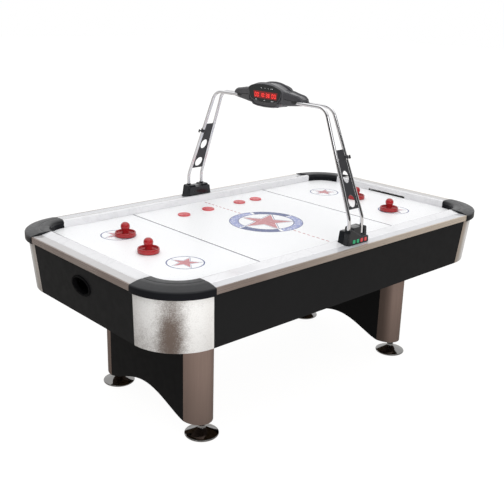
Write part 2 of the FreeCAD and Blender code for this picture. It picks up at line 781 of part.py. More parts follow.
save("arch_base_back", arch_base(back_rail, False))
save("arch_base_front", mirror_y(arch_base(back_rail, True)))
save("arch_tubes_back", *arch_tubes())
save("arch_tubes_front", *[mirror_y(tube) for tube in arch_tubes()])
save("arch_plates", mirror_x(arch_plate()), mirror_y(arch_plate()))
save("score_housing_right", score_housing_half(arch_tubes()))
save("score_housing_left", mirror_x(score_housing_half(arch_tubes())))
save("score_windows", score_window(), mirror_x(score_window()))
for i, x in enumerate(BUTTON_X, start=1):
    save("control_button_%d" % i, mirror_y(control_button(x)))

for name, (x, y) in MALLETS.items():
    save(name, mallet(x, y))
for name, (x, y) in PUCKS.items():
    save(name, puck(x, y))
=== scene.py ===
import json
import math

import bmesh
import bpy
from mathutils import Matrix, Vector


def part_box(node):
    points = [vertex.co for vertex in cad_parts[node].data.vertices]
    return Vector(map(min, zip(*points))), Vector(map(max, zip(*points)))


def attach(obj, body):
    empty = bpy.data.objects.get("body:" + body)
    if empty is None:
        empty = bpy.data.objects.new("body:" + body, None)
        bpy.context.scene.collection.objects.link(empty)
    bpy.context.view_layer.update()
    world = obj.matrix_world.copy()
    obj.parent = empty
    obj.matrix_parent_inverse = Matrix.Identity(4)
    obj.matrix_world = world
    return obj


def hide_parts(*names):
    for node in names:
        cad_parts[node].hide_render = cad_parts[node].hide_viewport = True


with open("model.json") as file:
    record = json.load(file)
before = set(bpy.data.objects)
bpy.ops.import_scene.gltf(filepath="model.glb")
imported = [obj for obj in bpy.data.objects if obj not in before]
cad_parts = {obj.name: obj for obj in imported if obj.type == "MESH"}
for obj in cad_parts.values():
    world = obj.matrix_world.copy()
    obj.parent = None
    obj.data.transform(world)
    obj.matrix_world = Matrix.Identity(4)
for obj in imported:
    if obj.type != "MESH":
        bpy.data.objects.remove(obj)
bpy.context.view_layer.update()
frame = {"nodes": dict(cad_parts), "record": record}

scene = bpy.context.scene
MM = 0.001

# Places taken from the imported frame, in metres.
FIELD_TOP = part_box("playfield")[1].z
RAIL_INNER_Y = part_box("side_rail_back")[0].y
RAIL_INNER_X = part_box("end_rail_right")[0].x
LEG_INNER_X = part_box("leg_column_front_right")[0].x
cap_low, cap_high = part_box("corner_cap_back_right")
CORNER_X, CORNER_Y = cap_low.x, cap_low.y
CAP_WIDTH = 113 * MM
CAP_OUTER_R = cap_high.x - CORNER_X
CAP_INNER_R = CAP_OUTER_R - CAP_WIDTH
CORNERS = {
    "front_left": (-1, -1),
    "front_right": (1, -1),
    "back_left": (-1, 1),
    "back_right": (1, 1),
}

# Sockets of a Mix node for colours, which has others of the same name for floats and vectors.
MIX_A, MIX_B, MIX_RESULT = 6, 7, 2


# ---- Camera, floor and light -------------------------------------------------------------
# The place and the axes of the camera were fitted to the straight edges of the table.
CAMERA_PLACE = (-2.568757, -2.64191, 1.827575)
CAMERA_RIGHT = (0.73502132, -0.67750532, 0.02702224)
CAMERA_UP = (0.19137, 0.245519, 0.950314)
CAMERA_BACK = (-0.65047765, -0.6933302, 0.31011621)
CAMERA_LENS = 55.048
SENSOR_WIDTH = 36


def add_camera():
    axes = [Vector(axis) for axis in (CAMERA_RIGHT, CAMERA_UP, CAMERA_BACK)]
    camera = bpy.data.objects.new("camera", bpy.data.cameras.new("camera"))
    camera.data.lens = CAMERA_LENS
    camera.data.sensor_width = SENSOR_WIDTH
    camera.data.clip_end = 100
    turn = Matrix(axes).transposed().to_4x4()
    camera.matrix_world = Matrix.Translation(CAMERA_PLACE) @ turn
    scene.collection.objects.link(camera)
    scene.camera = camera


def camera_rays(tree, seen, others, kind="Is Camera Ray"):
    """Picks between two colours or sockets: one for a kind of ray, one for all other light."""
    path = tree.nodes.new("ShaderNodeLightPath")
    pick = tree.nodes.new("ShaderNodeMix")
    pick.data_type = "RGBA"
    tree.links.new(path.outputs[kind], pick.inputs["Factor"])
    for socket, value in ((pick.inputs[MIX_B], seen), (pick.inputs[MIX_A], others)):
        if isinstance(value, bpy.types.NodeSocket):
            tree.links.new(value, socket)
        else:
            socket.default_value = value
    return pick.outputs[MIX_RESULT]


def add_floor():
    """A pale floor that gives little light, so that the table's lower faces stay dark."""
    bm = bmesh.new()
    bmesh.ops.create_grid(bm, x_segments=1, y_segments=1, size=30)
    mesh = bpy.data.meshes.new("floor")
    bm.to_mesh(mesh)
    floor = bpy.data.objects.new("floor", mesh)
    scene.collection.objects.link(floor)
    g = Graph("floor", (0.13, 0.125, 0.12), roughness=0.9, specular=0.02)
    mirrored = camera_rays(g.tree, (0.62, 0.6, 0.58, 1), (0.03, 0.028, 0.026, 1), "Is Glossy Ray")
    g.set("Emission Color", camera_rays(g.tree, (0.94, 0.94, 0.94, 1), mirrored))
    g.set("Emission Strength", 1.0)
    mesh.materials.append(g.mat)


def add_area(name, place, target, size, power, mirrored=True):
    """A lamp that points at the target. Unless it is mirrored, it makes no highlight."""
    light = bpy.data.lights.new(name, "AREA")
    light.shape = "RECTANGLE"
    light.size, light.size_y = size
    light.energy = power
    lamp = bpy.data.objects.new(name, light)
    lamp.location = place
    lamp.rotation_euler = (Vector(target) - Vector(place)).to_track_quat("-Z", "Y").to_euler()
    lamp.visible_glossy = mirrored
    scene.collection.objects.link(lamp)


# Half a metre from the camera towards the table, along the floor. Its product with a direction
# lies between minus a half and a half.
AWAY_FROM_CAMERA = (0.34, 0.365, 0.0)


def add_light():
    """A white studio: a bright ceiling and back wall, and a dim front below the ceiling."""
    world = bpy.data.worlds.new("studio")
    scene.world = world
    world.use_nodes = True
    tree = world.node_tree
    back = tree.nodes["Background"]

    def ramp(value, stops):
        made = tree.nodes.new("ShaderNodeValToRGB")
        tree.links.new(value, made.inputs["Fac"])
        for k, (place, tone) in enumerate(stops):
            points = made.color_ramp.elements
            stop = points[k] if k < 2 else points.new(place)
            stop.position = place
            stop.color = (tone, tone, tone, 1)
        return made.outputs["Color"]

    coord = tree.nodes.new("ShaderNodeTexCoord")
    axes = tree.nodes.new("ShaderNodeSeparateXYZ")
    tree.links.new(coord.outputs["Generated"], axes.inputs[0])
    depth = tree.nodes.new("ShaderNodeVectorMath")
    depth.operation = "DOT_PRODUCT"
    depth.inputs[1].default_value = AWAY_FROM_CAMERA
    tree.links.new(coord.outputs["Generated"], depth.inputs[0])
    shift = tree.nodes.new("ShaderNodeMath")
    shift.inputs[1].default_value = 0.5
    tree.links.new(depth.outputs["Value"], shift.inputs[0])
    side = ramp(shift.outputs[0], [(0.44, 0.0), (0.74, 1.0)])
    near = ramp(axes.outputs["Z"], [(0.0, 0.06), (0.5, 0.08), (0.74, 1.1), (1.0, 1.15)])
    far = ramp(axes.outputs["Z"], [(0.0, 0.12), (0.06, 0.95), (0.5, 1.1), (1.0, 1.2)])
    blend = tree.nodes.new("ShaderNodeMix")
    blend.data_type = "RGBA"
    tree.links.new(side, blend.inputs["Factor"])
    tree.links.new(near, blend.inputs[MIX_A])
    tree.links.new(far, blend.inputs[MIX_B])
    lighting = blend.outputs[MIX_RESULT]
    tree.links.new(camera_rays(tree, (1, 1, 1, 1), lighting), back.inputs["Color"])
    add_area("key", (-1.0, -4.0, 3.6), (0, 0, 0.6), (2.4, 0.8), 16)
    add_area("fill", (-2.5, -4.4, 1.5), (-0.2, -0.2, 0.7), (3.2, 2.0), 152, mirrored=False)
    add_area("top", (0.2, 0.2, 3.6), (0, 0, 0.8), (3.0, 2.2), 9)
    add_area("side", (3.6, -2.6, 1.7), (0.4, 0, 0.7), (0.5, 1.6), 1.5)
    add_area("low", (-3.6, -1.2, 1.1), (-0.6, -0.4, 0.5), (0.5, 1.4), 3)


# ---- Materials ---------------------------------------------------------------------------
class Graph:
    """A Principled material, with short names for the nodes that shape it."""

    def __init__(self, name, colour, roughness=0.4, metallic=0.0, specular=0.5):
        self.mat = bpy.data.materials.new(name)
        self.mat.use_nodes = True
        self.tree = self.mat.node_tree
        self.bsdf = self.tree.nodes["Principled BSDF"]
        self.coord = self.node("ShaderNodeTexCoord").outputs["Object"]
        self.set("Base Color", (*colour, 1))
        self.set("Roughness", roughness)
        self.set("Metallic", metallic)
        self.set("Specular IOR Level", specular)
        self.mat.diffuse_color = (*colour, 1)

    def node(self, kind, **values):
        made = self.tree.nodes.new(kind)
        for key, value in values.items():
            setattr(made, key, value)
        return made

    def feed(self, socket, value):
        if isinstance(value, bpy.types.NodeSocket):
            self.tree.links.new(value, socket)
        else:
            socket.default_value = value

    def set(self, name, value):
        self.feed(self.bsdf.inputs[name], value)

    def stretched(self, scale):
        mapping = self.node("ShaderNodeMapping")
        self.feed(mapping.inputs["Vector"], self.coord)
        mapping.inputs["Scale"].default_value = scale
        return mapping.outputs["Vector"]

    def noise(self, scale, detail=3.0, rough=0.55, stretch=(1, 1, 1), warp=0.0):
        made = self.node("ShaderNodeTexNoise")
        self.feed(made.inputs["Vector"], self.stretched(stretch))
        made.inputs["Scale"].default_value = scale
        made.inputs["Detail"].default_value = detail
        made.inputs["Roughness"].default_value = rough
        made.inputs["Distortion"].default_value = warp
        return made.outputs["Fac"]

    def cells(self, scale):
        made = self.node("ShaderNodeTexVoronoi")
        self.feed(made.inputs["Vector"], self.stretched((1, 1, 1)))
        made.inputs["Scale"].default_value = scale
        return made.outputs["Distance"]

    def math(self, operation, a, b=0.0):
        made = self.node("ShaderNodeMath", operation=operation)
        self.feed(made.inputs[0], a)
        self.feed(made.inputs[1], b)
        return made.outputs[0]

    def distance(self, value, place=0.0):
        """How far the value is from the place, to either side."""
        if place:
            value = self.math("SUBTRACT", value, place)
        return self.math("ABSOLUTE", value)

    def swing(self, value, share):
        """The value's swing about a half, times the share."""
        return self.math("MULTIPLY", self.math("SUBTRACT", value, 0.5), share)

    def remap(self, value, low, high, to_low=0.0, to_high=1.0):
        made = self.node("ShaderNodeMapRange", interpolation_type="SMOOTHSTEP")
        self.feed(made.inputs["Value"], value)
        for name, number in (("From Min", low), ("From Max", high),
                             ("To Min", to_low), ("To Max", to_high)):
            made.inputs[name].default_value = number
        return made.outputs["Result"]

    def axes(self):
        made = self.node("ShaderNodeSeparateXYZ")
        self.feed(made.inputs[0], self.coord)
        return made.outputs

    def blend(self, share, a, b):
        made = self.node("ShaderNodeMix", data_type="RGBA")
        self.feed(made.inputs["Factor"], share)
        for socket, colour in ((made.inputs[MIX_A], a), (made.inputs[MIX_B], b)):
            self.feed(socket, (*colour, 1) if isinstance(colour, tuple) else colour)
        return made.outputs[MIX_RESULT]

    def bump(self, height, strength, distance):
        made = self.node("ShaderNodeBump")
        made.inputs["Strength"].default_value = strength
        made.inputs["Distance"].default_value = distance
        self.feed(made.inputs["Height"], height)
        if self.bsdf.inputs["Normal"].is_linked:
            self.feed(made.inputs["Normal"], self.bsdf.inputs["Normal"].links[0].from_socket)
        self.set("Normal", made.outputs["Normal"])


# Where the flat outer bands of the rails begin.
SIDE_BAND_Y, END_BAND_X = 558 * MM, 1015.5 * MM


def make_playfield():
    g = Graph("playfield_laminate", (0.93, 0.94, 0.95), roughness=0.16, specular=0.4)
    haze = g.noise(3.0, detail=4)
    g.set("Base Color", g.blend(haze, (0.94, 0.945, 0.955), (0.91, 0.92, 0.935)))
    g.set("Roughness", g.remap(g.noise(18.0), 0.3, 0.7, 0.34, 0.44))
    g.bump(g.noise(900.0, detail=1), 0.02, 0.2 * MM)
    return g.mat


def make_rail():
    """Pale laminate with faint veins, greyer on the flat bands outside the slopes, as painted
    shade.
    """
    g = Graph("rail_laminate", (0.8, 0.81, 0.83), roughness=0.22, specular=0.5)
    x, y, _ = g.axes()
    side = g.remap(g.distance(y), SIDE_BAND_Y - 0.5 * MM, SIDE_BAND_Y + 0.5 * MM)
    end = g.remap(g.distance(x), END_BAND_X - 0.5 * MM, END_BAND_X + 0.5 * MM)
    streak = g.noise(14.0, detail=5, stretch=(0.25, 0.25, 6))
    drift = g.noise(5.0, detail=5, rough=0.65, warp=0.8)
    veins = g.remap(g.distance(drift, 0.5), 0.0, 0.035, 1.0, 0.0)
    pale = g.blend(streak, (0.81, 0.81, 0.825), (0.73, 0.73, 0.75))
    pale = g.blend(g.math("MULTIPLY", veins, 0.22), pale, (0.55, 0.55, 0.57))
    # The greyer flat outer bands, at the sides and at the ends, are painted shade.
    painted_shade_side_band = g.blend(streak, (0.70, 0.70, 0.72), (0.56, 0.565, 0.59))
    painted_shade_end_band = g.blend(streak, (0.55, 0.535, 0.535), (0.44, 0.43, 0.43))
    colour = g.blend(side, pale, painted_shade_side_band)
    g.set("Base Color", g.blend(end, colour, painted_shade_end_band))
    g.set("Roughness", g.remap(streak, 0.3, 0.7, 0.06, 0.14))
    g.bump(g.noise(700.0, detail=1), 0.03, 0.2 * MM)
    return g.mat


def make_trim():
    """Brushed bronze, paler towards the right end, which is painted reflection."""
    g = Graph("trim_bronze", (0.3, 0.24, 0.2), roughness=0.34, metallic=0.6)
    x, _, _ = g.axes()
    grain = g.noise(240.0, detail=2, stretch=(0.02, 0.02, 1))
    cloud = g.noise(4.0, detail=3)
    base = g.blend(grain, (0.30, 0.25, 0.225), (0.225, 0.18, 0.16))
    base = g.blend(g.remap(cloud, 0.35, 0.65, 0.0, 0.45), base, (0.17, 0.125, 0.105))
    # Paler towards the right end: painted reflection.
    painted_reflection_share = g.remap(x, -1.0, 1.05)
    g.set("Base Color", g.blend(painted_reflection_share, base, (0.6, 0.52, 0.43)))
    g.set("Roughness", g.remap(grain, 0.3, 0.7, 0.26, 0.42))
    g.bump(grain, 0.08, 0.1 * MM)
    return g.mat


def black_laminate(name, tone):
    g = Graph(name, (tone, tone, tone * 1.05), roughness=0.45, specular=0.03)
    haze = g.noise(1.6, detail=3)
    g.set("Base Color", g.blend(haze, (tone * 0.9, tone * 0.9, tone * 0.92),
                                (tone * 1.12, tone * 1.12, tone * 1.15)))
    g.set("Roughness", g.remap(g.noise(30.0, detail=4), 0.3, 0.7, 0.4, 0.5))
    g.bump(g.noise(1400.0, detail=2), 0.06, 0.1 * MM)
    return g.mat


def make_column():
    """Bronze brushed upright, with painted shade at the floor and along its edge on the table's
    inner side.
    """
    g = Graph("column_bronze", (0.2, 0.15, 0.13), roughness=0.45, metallic=0.4, specular=0.15)
    x, _, z = g.axes()
    brush = g.noise(320.0, detail=2, stretch=(1, 1, 0.015))
    base = g.blend(brush, (0.36, 0.265, 0.226), (0.29, 0.21, 0.178))
    # Darker towards the floor: painted shade.
    low = g.remap(z, 0.5, 0.05)
    base = g.blend(low, base, (0.215, 0.158, 0.134))
    g.set("Specular Tint", (0.3, 0.26, 0.24, 1))
    # Darker along the edge on the table's inner side: painted shade.
    painted_inner_shade = g.remap(g.distance(x), LEG_INNER_X, LEG_INNER_X + 30 * MM, 0.75, 0.0)
    g.set("Base Color", g.blend(painted_inner_shade, base, (0.05, 0.036, 0.03)))
    g.set("Roughness", g.remap(brush, 0.3, 0.7, 0.4, 0.52))
    g.bump(brush, 0.06, 0.1 * MM)
    return g.mat


# Height above the floor of the brown cloud of painted reflection on the corner panels.
PAINTED_REFLECTION_HEIGHT = 0.625


def make_silver():
    """Silver film with a fine hammered grain, and a brown cloud of painted reflection low in the
    middle of each corner.
    """
    g = Graph("corner_silver", (0.6, 0.57, 0.54), roughness=0.4, metallic=0.05)
    x, y, z = g.axes()
    speck = g.noise(230.0, detail=2, rough=0.7)
    patch = g.noise(38.0, detail=4, rough=0.6)
    brush = g.noise(260.0, detail=2, stretch=(1, 1, 0.06))
    lean = g.math("SUBTRACT", g.distance(x), g.distance(y))
    lean = g.math("SUBTRACT", lean, CORNER_X - CORNER_Y)
    across = g.distance(lean)
    height = g.distance(z, PAINTED_REFLECTION_HEIGHT)
    # A brown cloud low in the middle of the corner: painted reflection.
    cloud = g.math("MULTIPLY", g.remap(across, 0.0, 0.13, 1.05, 0.0),
                   g.remap(height, 0.02, 0.16, 1.0, 0.6))
    # Brown towards the end side, low down: painted reflection.
    painted_low_end_reflection = g.math("MULTIPLY", g.remap(lean, -0.1, 0.16, 0.0, 0.38), g.remap(z, 0.74, 0.54))
    # The painted reflection, plus the film's own specks and patches.
    share = g.math("ADD", g.math("ADD", cloud, painted_low_end_reflection), g.swing(speck, 0.85))
    share = g.math("ADD", share, g.swing(patch, 0.6))
    share = g.remap(share, -0.05, 1.12)
    # A brown band along the edges, strongest towards the right and the back: painted reflection.
    painted_reflection_share = g.math("MAXIMUM", g.remap(x, -0.6, 0.9, 0.12, 1.0), g.remap(y, 0.2, 0.4, 0.0, 0.7))
    rim = g.math("MULTIPLY", g.remap(across, 0.14, 0.205), painted_reflection_share)
    pale = g.blend(speck, (0.97, 0.965, 0.95), (0.80, 0.785, 0.765))
    pale = g.blend(rim, pale, (0.4, 0.33, 0.27))
    g.set("Base Color", g.blend(share, pale, (0.135, 0.1, 0.082)))
    g.set("Roughness", g.remap(brush, 0.3, 0.7, 0.34, 0.5))
    g.bump(g.math("ADD", brush, speck), 0.08, 0.15 * MM)
    return g.mat


def moulded_graph(name, colour, roughness, specular, grain):
    """Moulded plastic with a fine grain, still open to changes."""
    g = Graph(name, colour, roughness=roughness, specular=specular)
    haze = g.noise(9.0, detail=4)
    dark = tuple(c * 0.82 for c in colour)
    light = tuple(min(1.0, c * 1.16) for c in colour)
    g.set("Base Color", g.blend(haze, dark, light))
    gloss = g.noise(60.0, detail=3)
    g.set("Roughness", g.remap(gloss, 0.3, 0.7, roughness * 0.85, roughness * 1.15))
    g.bump(g.cells(1500.0), grain, 0.12 * MM)
    return g


def moulded(name, colour, roughness=0.45, specular=0.4, grain=0.1):
    return moulded_graph(name, colour, roughness, specular, grain).mat


def make_cap():
    """Moulded plastic, duller on the lip below the top face."""
    g = moulded_graph("cap_plastic", (0.0095, 0.01, 0.012), 0.34, 0.3, 0.05)
    _, _, z = g.axes()
    lip = FIELD_TOP + 20 * MM, FIELD_TOP + 24 * MM
    g.set("Specular IOR Level", g.remap(z, *lip, 0.05, 0.32))
    return g.mat


def metal(name, colour, roughness, stretch=(1, 1, 1), scale=200.0, tone=0.86, bump=0.05):
    g = Graph(name, colour, roughness=roughness, metallic=1.0)
    grain = g.noise(scale, detail=3, stretch=stretch)
    g.set("Base Color", g.blend(grain, tuple(c * tone for c in colour), colour))
    g.set("Roughness", g.remap(grain, 0.3, 0.7, roughness * 0.7, roughness * 1.35))
    g.bump(grain, bump, 0.1 * MM)
    return g.mat


def make_board():
    g = Graph("bare_board", (0.42, 0.3, 0.18), roughness=0.8, specular=0.2)
    chips = g.cells(420.0)
    fibre = g.noise(160.0, detail=5, stretch=(1, 1, 3))
    base = g.blend(fibre, (0.36, 0.25, 0.15), (0.5, 0.37, 0.24))
    g.set("Base Color", g.blend(g.remap(chips, 0.1, 0.5), base, (0.3, 0.2, 0.12)))
    g.bump(fibre, 0.3, 0.3 * MM)
    return g.mat


def lit(name, colour, glow, strength):
    """Clear plastic with a light behind it."""
    g = Graph(name, colour, roughness=0.2, specular=0.5)
    cloud = g.noise(90.0, detail=2)
    g.set("Base Color", g.blend(cloud, tuple(c * 0.85 for c in colour), colour))
    g.set("Emission Color", (*glow, 1))
    g.set("Emission Strength", strength)
    g.bump(g.noise(900.0, detail=1), 0.03, 0.1 * MM)
    return g.mat


def make_pattern():
    """Flecks in place of lettering in the centre ring."""
    g = Graph("marking_pattern", (0.4, 0.45, 0.7), roughness=0.25, specular=0.3)
    cells = g.cells(95.0)
    fleck = g.noise(160.0, detail=3)
    spots = g.remap(g.math("ADD", cells, g.math("MULTIPLY", fleck, 0.35)), 0.42, 0.55)
    g.set("Base Color", g.blend(spots, (0.85, 0.88, 0.95), (0.27, 0.31, 0.58)))
    g.bump(fleck, 0.02, 0.1 * MM)
    return g.mat


def make_materials():
    """One material for each material slot of the record, then those of the pieces made here."""
    return {
        "playfield_laminate": make_playfield(),
        "rail_laminate": make_rail(),
        "trim_bronze": make_trim(),
        "apron_black": black_laminate("apron_black", 0.0145),
        "leg_black": black_laminate("leg_black", 0.007),
        "pocket_plastic": moulded("pocket_plastic", (0.004, 0.004, 0.0045), 0.7, 0.03),
        "bare_board": make_board(),
        "zinc_steel": metal("zinc_steel", (0.6, 0.6, 0.62), 0.32),
        "blower_plastic": moulded("blower_plastic", (0.04, 0.04, 0.045)),
        "motor_steel": metal("motor_steel", (0.45, 0.45, 0.47), 0.4),
        "grille_steel": moulded("grille_steel", (0.03, 0.03, 0.03), 0.35, 0.5),
        "column_bronze": make_column(),
        "foot_chrome": metal("foot_chrome", (0.26, 0.255, 0.25), 0.09),
        "base_black": moulded("base_black", (0.012, 0.013, 0.015), 0.13, 0.4, 0.02),
        "tube_chrome": metal("tube_chrome", (0.74, 0.735, 0.75), 0.07, (1, 1, 0.05), 150.0, 0.94,
                             0.01),
        "plate_black": moulded("plate_black", (0.03, 0.03, 0.034), 0.35, 0.3),
        "housing_grey": moulded("housing_grey", (0.05, 0.05, 0.057), 0.2, 0.7, 0.02),
        "window_red": lit("window_red", (0.06, 0.002, 0.002), (0.5, 0.005, 0.005), 0.3),
        "cap_plastic": make_cap(),
        "corner_silver": make_silver(),
        "button_green": lit("button_green", (0.02, 0.27, 0.12), (0.02, 0.75, 0.3), 0.12),
        "button_red": lit("button_red", (0.42, 0.04, 0.045), (1.0, 0.1, 0.1), 0.2),
        "mallet_red": moulded("mallet_red", (0.36, 0.013, 0.017), 0.17, 0.6, 0.02),
        "puck_red": moulded("puck_red", (0.64, 0.075, 0.09), 0.3, 0.5, 0.03),
        "marking_blue": moulded("marking_blue", (0.075, 0.1, 0.25), 0.25, 0.3, 0.02),
        "marking_line": moulded("marking_line", (0.05, 0.052, 0.085), 0.25, 0.3, 0.02),
        "marking_pink": moulded("marking_pink", (0.55, 0.21, 0.23), 0.25, 0.3, 0.02),
        # Flat dark colour of the air holes and of the gaps in the wings: painted shade.
        "painted_hole_shade": moulded("painted_hole_shade", (0.05, 0.05, 0.05), 0.8, 0.1),
        "lens_black": moulded("lens_black", (0.008, 0.011, 0.012), 0.12, 0.4, 0.0),
        "steel_light": metal("steel_light", (0.85, 0.85, 0.86), 0.2),
        "led_red": lit("led_red", (0.8, 0.03, 0.03), (1.0, 0.045, 0.035), 1.3),
        "legend_white": moulded("legend_white", (0.85, 0.87, 0.9), 0.4, 0.3, 0.02),
        "felt_grey": moulded("felt_grey", (0.16, 0.16, 0.17), 0.95, 0.1, 0.6),
        "marking_pattern": make_pattern(),
    }


# ---- Mesh helpers ------------------------------------------------------------------------
def shade(mesh, angle):
    """Smooth shading, with hard edges where faces meet at more than the angle."""
    for face in mesh.polygons:
        face.use_smooth = True
    mesh.set_sharp_from_angle(angle=math.radians(angle))


def add_piece(name, bm, finish, body, replaces=(), angle=35):
    """Makes an object that moves with the body, with its finish as its material."""
    bmesh.ops.recalc_face_normals(bm, faces=bm.faces)
    mesh = bpy.data.meshes.new(name)
    bm.to_mesh(mesh)
    bm.free()
    shade(mesh, angle)
    mesh.materials.append(materials[finish])
    piece = bpy.data.objects.new(name, mesh)
    scene.collection.objects.link(piece)
    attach(piece, body)
    if replaces:
        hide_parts(*replaces)
    return piece


def round_edges(piece, width, angle):
    """A bevel on every edge sharper than the angle."""
    bevel = piece.modifiers.new("bevel", "BEVEL")
    bevel.width = width
    bevel.segments = 2
    bevel.limit_method = "ANGLE"
    bevel.angle_limit = math.radians(angle)
    return bevel


def dress(node, width):
    """Gives a CAD node its finish, and rounds its edges if a width is given."""
    piece = frame["nodes"][node]
    slot = slot_of[node]
    if not piece.material_slots:
        piece.data.materials.append(None)
    for entry in piece.material_slots:
        entry.material = materials[slot]
    if width:
        weld = piece.modifiers.new("weld", "WELD")
        weld.merge_threshold = 0.01 * MM
        round_edges(piece, width, 40).harden_normals = True


def foot_of(node):
    """The middle of the lower face of a node's box."""
    low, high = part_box(node)
    return (low.x + high.x) / 2, (low.y + high.y) / 2, low.z


def polygon(centre, radius, sides):
    return [(centre[0] + radius * math.cos(math.tau * k / sides),
             centre[1] + radius * math.sin(math.tau * k / sides)) for k in range(sides)]


def prism(bm, outline, z0, z1):
    """A closed upright prism on an (x, y) outline."""
    low = [bm.verts.new((x, y, z0)) for x, y in outline]
    high = [bm.verts.new((x, y, z1)) for x, y in outline]
    count = len(outline)
    bm.faces.new(low)
    bm.faces.new(high)
    for i in range(count):
        j = (i + 1) % count
        bm.faces.new((low[i], low[j], high[j], high[i]))


def ring_prism(bm, centre, inner, outer, z0, z1, start=0.0, sweep=360.0, steps=96):
    """A flat ring, or part of one, with upright walls. The steps are those of a whole turn."""
    full = sweep >= 360
    count = steps if full else int(steps * sweep / 360) + 1
    rows = []
    for i in range(count):
        a = math.radians(start + sweep * i / (steps if full else count - 1))
        c, s = math.cos(a), math.sin(a)
        rows.append([
            bm.verts.new((centre[0] + r * c, centre[1] + r * s, z))
            for r, z in ((inner, z0), (outer, z0), (outer, z1), (inner, z1))
        ])
    link_rows(bm, rows, full)


def link_rows(bm, rows, closed=False):
    """Joins rows of vertices, each a closed loop, into a skin, with a cap at each open end.
    Rows may share vertices."""
    size = len(rows[0])
    pairs = list(zip(rows, rows[1:]))
    if closed:
        pairs.append((rows[-1], rows[0]))
    for a, b in pairs:
        for i in range(size):
            j = (i + 1) % size
            corners = []
            for v in (a[i], a[j], b[j], b[i]):
                if v not in corners:
                    corners.append(v)
            if len(corners) > 2:
                bm.faces.new(corners)
    if not closed:
        bm.faces.new(rows[0])
        bm.faces.new(rows[-1])


def loft(bm, rings, closed=False):
    """A skin over rings of (x, y, z) points in millimetres."""
    link_rows(bm, [[bm.verts.new(point) for point in in_metres(ring)] for ring in rings], closed)


def lathe(bm, profile, centre, steps=72, sweep=360.0):
    """Turns a closed (radius, height) outline about an upright line. Points on the line share one
    vertex."""
    full = sweep >= 360
    count = steps if full else steps + 1
    cx, cy, cz = centre
    axis = {}
    rows = []
    for i in range(count):
        a = math.radians(sweep * i / steps)
        row = []
        for k, (r, h) in enumerate(profile):
            if r < 1e-9:
                if k not in axis:
                    axis[k] = bm.verts.new((cx, cy, cz + h))
                row.append(axis[k])
            else:
                row.append(bm.verts.new((cx + r * math.cos(a), cy + r * math.sin(a), cz + h)))
        rows.append(row)
    link_rows(bm, rows, full)


def rounded(points, radius, steps=4):
    """Rounds every corner of an open outline, apart from its two ends. Points are pairs."""
    made = [Vector(points[0])]
    for before, corner, after in zip(points, points[1:], points[2:]):
        before, corner, after = Vector(before), Vector(corner), Vector(after)
        reach = min(radius, (corner - before).length * 0.45, (after - corner).length * 0.45)
        p0 = corner + (before - corner).normalized() * reach
        p1 = corner + (after - corner).normalized() * reach
        for i in range(steps + 1):
            t = i / steps
            made.append(p0 * (1 - t) ** 2 + corner * 2 * t * (1 - t) + p1 * t ** 2)
    made.append(Vector(points[-1]))
    return [tuple(p) for p in made]


def in_metres(points):
    return [tuple(c * MM for c in p) for p in points]


def block(bm, low, high):
    """A closed box between two corners."""
    low, high = Vector(low), Vector(high)
    for v in bmesh.ops.create_cube(bm, size=1)["verts"]:
        v.co = low + Vector([(high[i] - low[i]) * (v.co[i] + 0.5) for i in range(3)])


# ---- Markings on the playfield -----------------------------------------------------------
INK_LOW, INK_TOP = FIELD_TOP - 0.4 * MM, FIELD_TOP + 0.02 * MM
HOLE_TOP = FIELD_TOP + 0.035 * MM
HOLE_PITCH, HOLE_RADIUS = 25.4 * MM, 0.7 * MM
STAR_TURN, STAR_WAIST = 180.0, 0.382
# How far a tip moves out when the edges beside it move out by one.
TIP_REACH = 3.24
RING_OUTER, RING_INNER, RING_LINE = 184 * MM, 136 * MM, 5 * MM
CENTRE_STAR, SPOT_STAR = 131 * MM, 60 * MM
SPOT_X, SPOT_Y = 701 * MM, 249 * MM
GOAL_LINE_X = 448 * MM


def star_points(centre, radius):
    points = []
    for i in range(10):
        a = math.radians(STAR_TURN + 36 * i)
        r = radius if i % 2 == 0 else radius * STAR_WAIST
        points.append((centre[0] + r * math.cos(a), centre[1] + r * math.sin(a)))
    return points


def star_outline(bm, centre, radius, gap, line, limit):
    """A thin line parallel to a star's ten edges, kept inside a circle."""
    middle = Vector(centre)
    inner = star_points(centre, radius + gap * TIP_REACH)
    outer = star_points(centre, radius + (gap + line) * TIP_REACH)
    for i in range(10):
        j = (i + 1) % 10
        quad = [Vector(inner[i]), Vector(inner[j]), Vector(outer[j]), Vector(outer[i])]
        tip = 0 if i % 2 == 0 else 1
        for near, far in ((tip, 1 - tip), (3 - tip, 2 + tip)):
            if (quad[near] - middle).length > limit:
                quad[near] = clip_to_circle(quad[far], quad[near], middle, limit)
        prism(bm, [tuple(p) for p in quad], INK_LOW, INK_TOP)


def clip_to_circle(inside, outside, centre, radius):
    """Where the line between two points meets the circle."""
    low, high = 0.0, 1.0
    for _ in range(30):
        t = (low + high) / 2
        if (inside.lerp(outside, t) - centre).length > radius:
            high = t
        else:
            low = t
    return inside.lerp(outside, low)


def stripe(bm, x0, x1, y0, y1):
    prism(bm, [(x0, y0), (x1, y0), (x1, y1), (x0, y1)], INK_LOW, INK_TOP)


